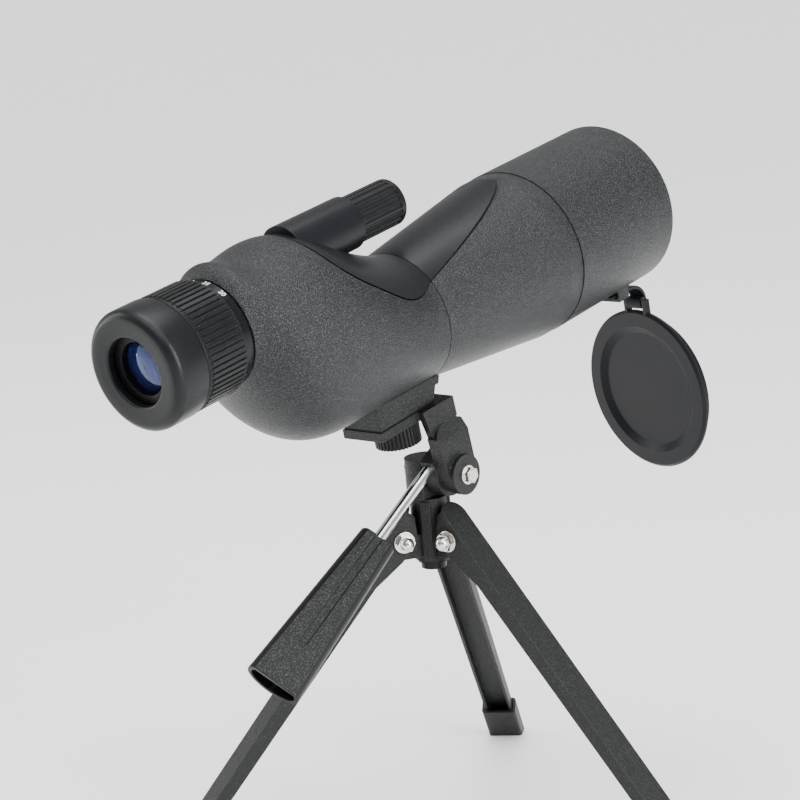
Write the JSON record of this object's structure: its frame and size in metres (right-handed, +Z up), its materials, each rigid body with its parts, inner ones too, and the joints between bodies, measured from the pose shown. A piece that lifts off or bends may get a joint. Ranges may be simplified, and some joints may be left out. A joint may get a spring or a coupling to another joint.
{
  "type": "spotting scope",
  "caption": "Straight prismatic spotting scope with zoom eyepiece, top focus knob and tethered lens cap, on a folding table tripod with pan and tilt head and twist-lock handle.",
  "frame": {"origin": "on the floor, on the axis of the pan joint", "axes": "+Z up, +Y the way the scope looks, level, +X to its right"},
  "size_m": [0.2299, 0.3211, 0.2934],
  "materials": {
    "armour_rubber": "fine-grained matt",
    "panel_plastic": "smooth satin",
    "knob_rubber": "smooth matt, fluted",
    "ring_rubber": "matt, finely ribbed",
    "scale_plastic": null,
    "eyecup_rubber": "smooth satin",
    "inner_plastic": "matt black",
    "tube_metal": "black anodised",
    "lens_glass": "polished, blue coated",
    "prism_glass": "polished",
    "crackle_paint": "black wrinkle paint",
    "leg_paint": "black wrinkle paint on pressed steel",
    "foot_plastic": "matt",
    "insert_brass": "machined",
    "pad_rubber": "matt",
    "wheel_plastic": "knurled",
    "screw_steel": "machined",
    "bolt_chrome": "nickel plated",
    "rod_chrome": "polished",
    "grip_plastic": "textured flat, smooth back",
    "tip_rubber": "matt",
    "cap_rubber": "smooth matt"
  },
  "bodies": {
    "tripod": {"hub": "crackle_paint", "leg_bolts": "bolt_chrome", "leg_nuts": "bolt_chrome", "leg_washers": "bolt_chrome", "pan_screw": "tube_metal", "pan_washer": "tube_metal"},
    "right_leg": {"leg_right": "leg_paint", "tip_right": "tip_rubber"},
    "back_leg": {"leg_back": "leg_paint", "tip_back": "tip_rubber"},
    "left_leg": {"leg_left": "leg_paint", "tip_left": "tip_rubber"},
    "pan_head": {"pan_post": "crackle_paint", "tilt_bolt": "bolt_chrome", "tilt_washer": "bolt_chrome", "tilt_nut": "bolt_chrome"},
    "scope": {"tilt_bracket": "crackle_paint", "platform_pad": "pad_rubber", "scope_foot": "foot_plastic", "foot_insert": "insert_brass", "barrel_armour": "armour_rubber", "barrel_panel": "panel_plastic", "barrel_tube": "tube_metal", "objective_cell": "inner_plastic", "objective_retainer": "inner_plastic", "objective_stop": "inner_plastic", "crown_lens": "lens_glass", "flint_lens": "lens_glass", "housing_armour": "armour_rubber", "housing_panel": "panel_plastic", "housing_core": "inner_plastic", "prism_first": "prism_glass", "prism_second": "prism_glass", "prism_plate": "inner_plastic", "eyepiece_seat": "inner_plastic", "eye_tube": "tube_metal", "eye_lens": "lens_glass", "eye_lens_ring": "inner_plastic", "eyecup": "eyecup_rubber", "field_stop": "inner_plastic", "focus_bush": "panel_plastic"},
    "platform_screw": {"camera_screw": "screw_steel", "screw_wheel": "wheel_plastic"},
    "handle": {"handle_rod": "rod_chrome", "handle_grip": "grip_plastic"},
    "focus_drive": {"focus_knob": "knob_rubber", "focus_shaft": "screw_steel"},
    "focus_group": {"focus_carriage": "inner_plastic", "focus_lens": "lens_glass"},
    "zoom_control": {"scale_collar": "scale_plastic", "zoom_ring": "ring_rubber"},
    "zoom_front_group": {"zoom_cell_front": "inner_plastic", "zoom_lens_front": "lens_glass"},
    "zoom_rear_group": {"zoom_cell_rear": "inner_plastic", "zoom_lens_rear": "lens_glass"},
    "sunshade_slide": {"sunshade": "armour_rubber", "strap_lug": "armour_rubber", "cap_strap": "cap_rubber"},
    "cap": {"objective_cap": "cap_rubber"}
  },
  "joints": [
    {"name": "right_leg_fold", "type": "hinge", "parent": "tripod", "child": "right_leg", "pos_m": [0.014, 0, 0.14339], "axis": [0, 1, 0], "range_deg": [0, 40]},
    {"name": "back_leg_fold", "type": "hinge", "parent": "tripod", "child": "back_leg", "pos_m": [-0.007, 0.01212, 0.14339], "axis": [-0.866, -0.5, 0], "range_deg": [0, 40]},
    {"name": "left_leg_fold", "type": "hinge", "parent": "tripod", "child": "left_leg", "pos_m": [-0.007, -0.01212, 0.14339], "axis": [0.866, -0.5, 0], "range_deg": [0, 40]},
    {"name": "head_pan", "type": "hinge", "parent": "tripod", "child": "pan_head", "pos_m": [0, 0, 0.1594], "axis": [0, 0, 1], "continuous": true},
    {"name": "head_tilt", "type": "hinge", "parent": "pan_head", "child": "scope", "pos_m": [0, 0.003, 0.16939], "axis": [1, 0, 0], "range_deg": [-35, 12]},
    {"name": "handle_twist", "type": "hinge", "parent": "scope", "child": "handle", "pos_m": [0.008, -0.00133, 0.1766], "axis": [0, -0.8572, -0.515], "range_deg": [-120, 0]},
    {"name": "platform_screw_turn", "type": "hinge", "parent": "scope", "child": "platform_screw", "pos_m": [0, -0.01712, 0.19855], "axis": [0, -0.1599, 0.9871], "continuous": true},
    {"name": "focus_turn", "type": "hinge", "parent": "scope", "child": "focus_drive", "pos_m": [0, -0.03496, 0.27681], "axis": [0, 0.9871, 0.1599], "range_deg": [0, 540]},
    {"name": "focus_slide", "type": "slide", "parent": "scope", "child": "focus_group", "axis": [0, 0.9871, 0.1599], "range_m": [0, 0.004]},
    {"name": "zoom_turn", "type": "hinge", "parent": "scope", "child": "zoom_control", "pos_m": [0, -0.11529, 0.24799], "axis": [0, 0.9871, 0.1599], "range_deg": [0, 90]},
    {"name": "zoom_front_slide", "type": "slide", "parent": "scope", "child": "zoom_front_group", "axis": [0, -0.9871, -0.1599], "range_m": [0, 0.003]},
    {"name": "zoom_rear_slide", "type": "slide", "parent": "scope", "child": "zoom_rear_group", "axis": [0, 0.9871, 0.1599], "range_m": [0, 0.004]},
    {"name": "sunshade_travel", "type": "slide", "parent": "scope", "child": "sunshade_slide", "axis": [0, 0.9871, 0.1599], "range_m": [0, 0.028]},
    {"name": "cap_swing", "type": "hinge", "parent": "sunshade_slide", "child": "cap", "pos_m": [0.00112, 0.15153, 0.21071], "axis": [0.9785, -0.2062, 0], "range_deg": [-20, 95]}
  ],
  "couplings": [
    {"joint": "focus_slide", "follows": "focus_turn", "m_per_rad": 0.00042441},
    {"joint": "zoom_front_slide", "follows": "zoom_turn", "m_per_rad": 0.0019099},
    {"joint": "zoom_rear_slide", "follows": "zoom_turn", "m_per_rad": 0.0025465}
  ]
}
